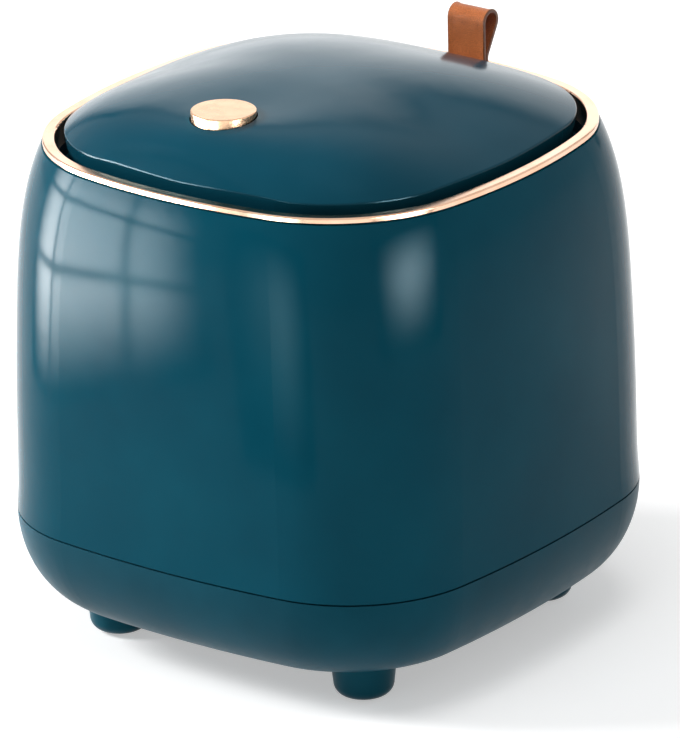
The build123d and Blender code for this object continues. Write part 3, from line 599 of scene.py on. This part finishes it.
@dataclass
class TopAssembly:
    """Frame, plated ring, hinge parts and loop that lift out together."""

    # The frame's dye is darker than the shell's. It is partly painted shade: the recessed flange reads as the
    # thin dark shadow line under the ring.
    frame_finish: Finish = SatinAbs(
        "textured_abs_frame", deep="#07303C", pale="#0A3946", skin_tint="#6F9DA9", roughness=0.45
    )
    ring_finish: Finish = RoseGoldPlate("rose_gold_plating")
    sheet_finish: Finish = Steel(
        "rolled_steel_sheet", bright="#A9ABAE", dull="#85888C", roughness=0.36, mark_mm=0.7
    )
    screw_finish: Finish = ZINC_PLATE
    wire_finish: Finish = SPRING_WIRE
    rubber_finish: Finish = NITRILE
    loop: LeatherLoop = field(default_factory=LeatherLoop)

    def dress_pieces(self) -> None:
        """Finish the fixed parts and build the loop."""
        dress("top_frame", self.frame_finish)
        dress("trim_ring", self.ring_finish)
        dress("latch_keeper", self.sheet_finish)
        dress("strap_clamp", self.sheet_finish)
        dress("keeper_screws", self.screw_finish)
        dress("strap_screws", self.screw_finish)
        for side in ("left", "right"):
            dress("hinge_pin_" + side, self.screw_finish)
            dress("hinge_spring_" + side, self.wire_finish)
            dress("lid_bumper_" + side, self.rubber_finish)
        self.loop.build()


@dataclass
class HingedLid:
    """Domed cover, liner and the latch's guide."""

    cover_finish: Finish = PolishedAbs(
        "polished_abs_lid", deep="#0A3F50", pale="#0C4557", skin_tint="#9CC4D0", roughness=0.17, level=0.16
    )
    liner_finish: Finish = SatinAbs(
        "textured_abs_liner", deep="#0A3A48", pale="#0D4250", skin_tint="#6F9DA9", roughness=0.42
    )
    screw_finish: Finish = ZINC_PLATE
    wire_finish: Finish = SPRING_WIRE

    def dress_pieces(self) -> None:
        """Finish the cover, the liner, the guide, the screws and the springs."""
        dress("lid_cover", self.cover_finish)
        dress("lid_liner", self.liner_finish)
        dress("latch_guide", self.liner_finish)
        dress("liner_screws", self.screw_finish)
        dress("guide_screws", self.screw_finish)
        dress("button_spring", self.wire_finish)
        dress("latch_spring", self.wire_finish)


@dataclass
class PressButton:
    """Plated cap and its stem."""

    cap_finish: Finish = RoseGoldPlate(
        "rose_gold_button", bright="#F6CBA6", warm="#F0C09A", roughness=0.26
    )
    stem_finish: Finish = Acetal("natural_acetal")

    def dress_pieces(self) -> None:
        """Finish the cap, the stem and the latch that the stem drives."""
        dress("button_cap", self.cap_finish)
        dress("button_stem", self.stem_finish)
        dress("latch_slider", self.stem_finish)


@dataclass(frozen=True)
class Card:
    """Glowing studio card that only mirror-like surfaces show, in metres.

    Its light fades out over a share of its width and height. Panes split it like a window.
    """

    name: str
    place: tuple
    faces: tuple
    width: float
    height: float
    strength: float
    soft: float = 0.35
    columns: int = 1
    rows: int = 1
    bar: float = 0.0
    tint: str = "#FFFFFF"

    def build(self) -> None:
        """Build the panes in one plane and turn them towards the point that the card faces."""
        vertices, faces = [], []
        wide = (self.width - self.bar * (self.columns - 1)) / self.columns
        tall = (self.height - self.bar * (self.rows - 1)) / self.rows
        for column in range(self.columns):
            for row in range(self.rows):
                left = -self.width / 2 + column * (wide + self.bar)
                low = -self.height / 2 + row * (tall + self.bar)
                start = len(vertices)
                right, high = left + wide, low + tall
                vertices += [(left, low, 0), (right, low, 0), (right, high, 0), (left, high, 0)]
                faces.append(tuple(range(start, start + 4)))
        mesh = bpy.data.meshes.new(self.name)
        mesh.from_pydata(vertices, [], faces)
        mesh.materials.append(self.glow())
        card = bpy.data.objects.new(self.name, mesh)
        bpy.context.scene.collection.objects.link(card)
        card.location = self.place
        card.rotation_euler = (Vector(self.faces) - Vector(self.place)).to_track_quat("Z", "Y").to_euler()
        card.visible_camera = card.visible_diffuse = card.visible_transmission = False
        card.visible_shadow = card.visible_volume_scatter = False
        log.info("%s: %d panes", self.name, len(faces))

    def glow(self) -> bpy.types.Material:
        """Material whose light fades out towards the card's edges."""
        made = bpy.data.materials.new(self.name + "_glow")
        made.use_nodes = True
        tree = made.node_tree
        tree.nodes.clear()
        place = add_node(tree, "ShaderNodeTexCoord")
        axes = add_node(tree, "ShaderNodeSeparateXYZ", {0: place.outputs["Generated"]})
        shares = []
        for axis in ("X", "Y"):
            folded = add_node(tree, "ShaderNodeMath", {0: axes.outputs[axis], 1: 0.5}, operation="PINGPONG")
            faded = add_node(
                tree,
                "ShaderNodeMapRange",
                {"Value": folded.outputs[0], "From Min": 0.0, "From Max": self.soft},
                interpolation_type="SMOOTHSTEP",
            )
            shares.append(faded.outputs[0])
        both = add_node(tree, "ShaderNodeMath", {0: shares[0], 1: shares[1]}, operation="MULTIPLY")
        level = add_node(tree, "ShaderNodeMath", {0: both.outputs[0], 1: self.strength}, operation="MULTIPLY")
        glow = add_node(
            tree,
            "ShaderNodeEmission",
            {"Color": linear(self.tint), "Strength": level.outputs[0]},
        )
        add_node(tree, "ShaderNodeOutputMaterial", {"Surface": glow.outputs[0]})
        return made


@dataclass(frozen=True)
class Softbox:
    """Square lamp that points at the middle of the bin, in metres and watts. Mirrors don't show it."""

    name: str
    place: tuple
    side: float
    power: float
    faces: tuple = (0.0, 0.0, 0.1)

    def build(self) -> None:
        """Hang the lamp and turn it towards the point that it faces."""
        lamp = bpy.data.lights.new(self.name, "AREA")
        lamp.shape = "RECTANGLE"
        lamp.size = lamp.size_y = self.side
        lamp.energy = self.power
        box = bpy.data.objects.new(self.name, lamp)
        bpy.context.scene.collection.objects.link(box)
        box.location = self.place
        box.rotation_euler = (Vector(self.faces) - Vector(self.place)).to_track_quat("-Z", "Y").to_euler()
        box.visible_camera = box.visible_glossy = False
        log.info("%s: %.0f W", self.name, self.power)


@dataclass
class Studio:
    """White floor and room, soft lamps and the cards that the gloss mirrors, in metres.

    The cards stand near the bin for the highlights of the photograph's view.
    """

    floor_radius: float = 8.0
    floor_colour: str = "#E6E6E6"
    floor_lift: float = 0.43
    fill_strength: float = 0.42
    floor_sides: int = 64
    cards: tuple = (
        Card(
            "window_card",
            place=(-0.17, -0.192, 0.135),
            faces=(-0.03, -0.086, 0.135),
            width=0.263,
            height=0.2,
            strength=42.0,
            soft=0.3,
            columns=3,
            rows=3,
            bar=0.007,
        ),
        Card(
            "corner_card",
            place=(0.02, -0.28, 0.115),
            faces=(0.045, -0.08, 0.135),
            width=0.15,
            height=0.2,
            strength=16.0,
            soft=0.5,
            tint="#CFE6E6",
        ),
        Card(
            "side_card",
            place=(0.272, -0.085, 0.165),
            faces=(0.08, -0.065, 0.15),
            width=0.2,
            height=0.17,
            strength=45.0,
            soft=0.5,
        ),
        Card(
            "back_card",
            place=(-0.75, 1.3, 0.355),
            faces=(0.0, 0.0, 0.355),
            width=2.4,
            height=1.61,
            strength=1.6,
            soft=0.22,
        ),
        Card(
            "crease_card",
            place=(-0.9, -1.02, 0.7),
            faces=(0.0, 0.0, 0.17),
            width=1.2,
            height=0.3,
            strength=0.9,
            soft=0.5,
        ),
    )
    lamps: tuple = (
        Softbox("key_softbox", place=(-1.75, -1.1, 1.35), side=0.75, power=60.0),
        Softbox("rim_softbox", place=(1.6, 1.2, 1.3), side=0.9, power=2.0),
        Softbox("top_softbox", place=(0.3, -0.3, 2.2), side=1.2, power=17.0),
    )

    def build(self) -> None:
        """Lay the floor, colour the world, hang the lamps and stand the cards."""
        self.lay_floor()
        self.colour_world()
        for item in self.lamps + self.cards:
            item.build()

    def lay_floor(self) -> None:
        """A round floor that looks white from the camera and in mirrors, and keeps the shadow."""
        mesh = bpy.data.meshes.new("studio_floor")
        ring = [
            (
                self.floor_radius * math.cos(math.tau * i / self.floor_sides),
                self.floor_radius * math.sin(math.tau * i / self.floor_sides),
                0,
            )
            for i in range(self.floor_sides)
        ]
        mesh.from_pydata(ring, [], [tuple(range(self.floor_sides))])
        made = bpy.data.materials.new("white_sweep_paper")
        made.use_nodes = True
        tree = made.node_tree
        tree.nodes.clear()
        paper = add_node(tree, "ShaderNodeBsdfDiffuse", {"Color": linear(self.floor_colour)})
        lift = add_node(tree, "ShaderNodeEmission", {"Strength": self.seen(tree, self.floor_lift)})
        both = add_node(tree, "ShaderNodeAddShader", {0: paper.outputs[0], 1: lift.outputs[0]})
        add_node(tree, "ShaderNodeOutputMaterial", {"Surface": both.outputs[0]})
        mesh.materials.append(made)
        floor = bpy.data.objects.new("studio_floor", mesh)
        bpy.context.scene.collection.objects.link(floor)
        log.info("studio_floor: radius %.1f m", self.floor_radius)

    def seen(self, tree: bpy.types.NodeTree, strength: float) -> Any:
        """A strength for camera, glossy and transmission rays, and none for the others.

        Args:
            tree: The node tree that gets the nodes.
            strength: Value for the rays that show the background.

        Returns:
            The output socket with the strength.
        """
        rays = add_node(tree, "ShaderNodeLightPath")
        shown = add_node(
            tree,
            "ShaderNodeMath",
            {0: rays.outputs["Is Camera Ray"], 1: rays.outputs["Is Transmission Ray"]},
            operation="MAXIMUM",
        )
        mirrored = add_node(
            tree,
            "ShaderNodeMath",
            {0: shown.outputs[0], 1: rays.outputs["Is Glossy Ray"]},
            operation="MAXIMUM",
        )
        scaled = add_node(
            tree, "ShaderNodeMath", {0: mirrored.outputs[0], 1: strength}, operation="MULTIPLY"
        )
        return scaled.outputs[0]

    def colour_world(self) -> None:
        """White to the camera and in mirrors, and a plain fill for diffuse light."""
        world = bpy.data.worlds.new("studio_room")
        bpy.context.scene.world = world
        world.use_nodes = True
        tree = world.node_tree
        tree.nodes.clear()
        fill = add_node(tree, "ShaderNodeBackground", {"Strength": self.fill_strength})
        white = add_node(tree, "ShaderNodeBackground", {"Strength": 1.0})
        choose = add_node(
            tree,
            "ShaderNodeMixShader",
            {0: self.seen(tree, 1.0), 1: fill.outputs[0], 2: white.outputs[0]},
        )
        add_node(tree, "ShaderNodeOutputWorld", {"Surface": choose.outputs[0]})


@dataclass
class PhotoCamera:
    """Long lens from the front right, above the lid. Place in metres, lens and sensor in millimetres."""

    place: tuple = (1.6266, -2.15355, 1.1187)
    right: tuple = (0.80356, 0.59485, -0.02095)
    up: tuple = (-0.19679, 0.29872, 0.93383)
    lens: float = 425.4
    sensor: float = 36.0
    nearest: float = 0.05
    farthest: float = 60.0

    def build(self) -> None:
        """Create the camera and make it the scene's own."""
        data = bpy.data.cameras.new("photo_camera")
        data.lens, data.sensor_width, data.sensor_fit = self.lens, self.sensor, "AUTO"
        data.clip_start, data.clip_end = self.nearest, self.farthest
        camera = bpy.data.objects.new("photo_camera", data)
        bpy.context.scene.collection.objects.link(camera)
        right = Vector(self.right).normalized()
        up = Vector(self.up)
        up = (up - right * up.dot(right)).normalized()
        back = right.cross(up)
        turn = Matrix((right, up, back)).transposed().to_4x4()
        camera.matrix_world = Matrix.Translation(Vector(self.place)) @ turn
        bpy.context.scene.camera = camera
        log.info("photo_camera: %.0f mm lens", self.lens)


def main() -> None:
    """Build every sub-assembly in order, then the studio and the camera."""
    logging.basicConfig(level=logging.INFO, format="%(message)s")
    for assembly in (LowerBody(), TopAssembly(), HingedLid(), PressButton()):
        assembly.dress_pieces()
        log.info("%s done", type(assembly).__name__)
    Studio().build()
    PhotoCamera().build()
    bpy.context.scene.view_settings.view_transform = "Standard"


if __name__ == "__main__":
    main()
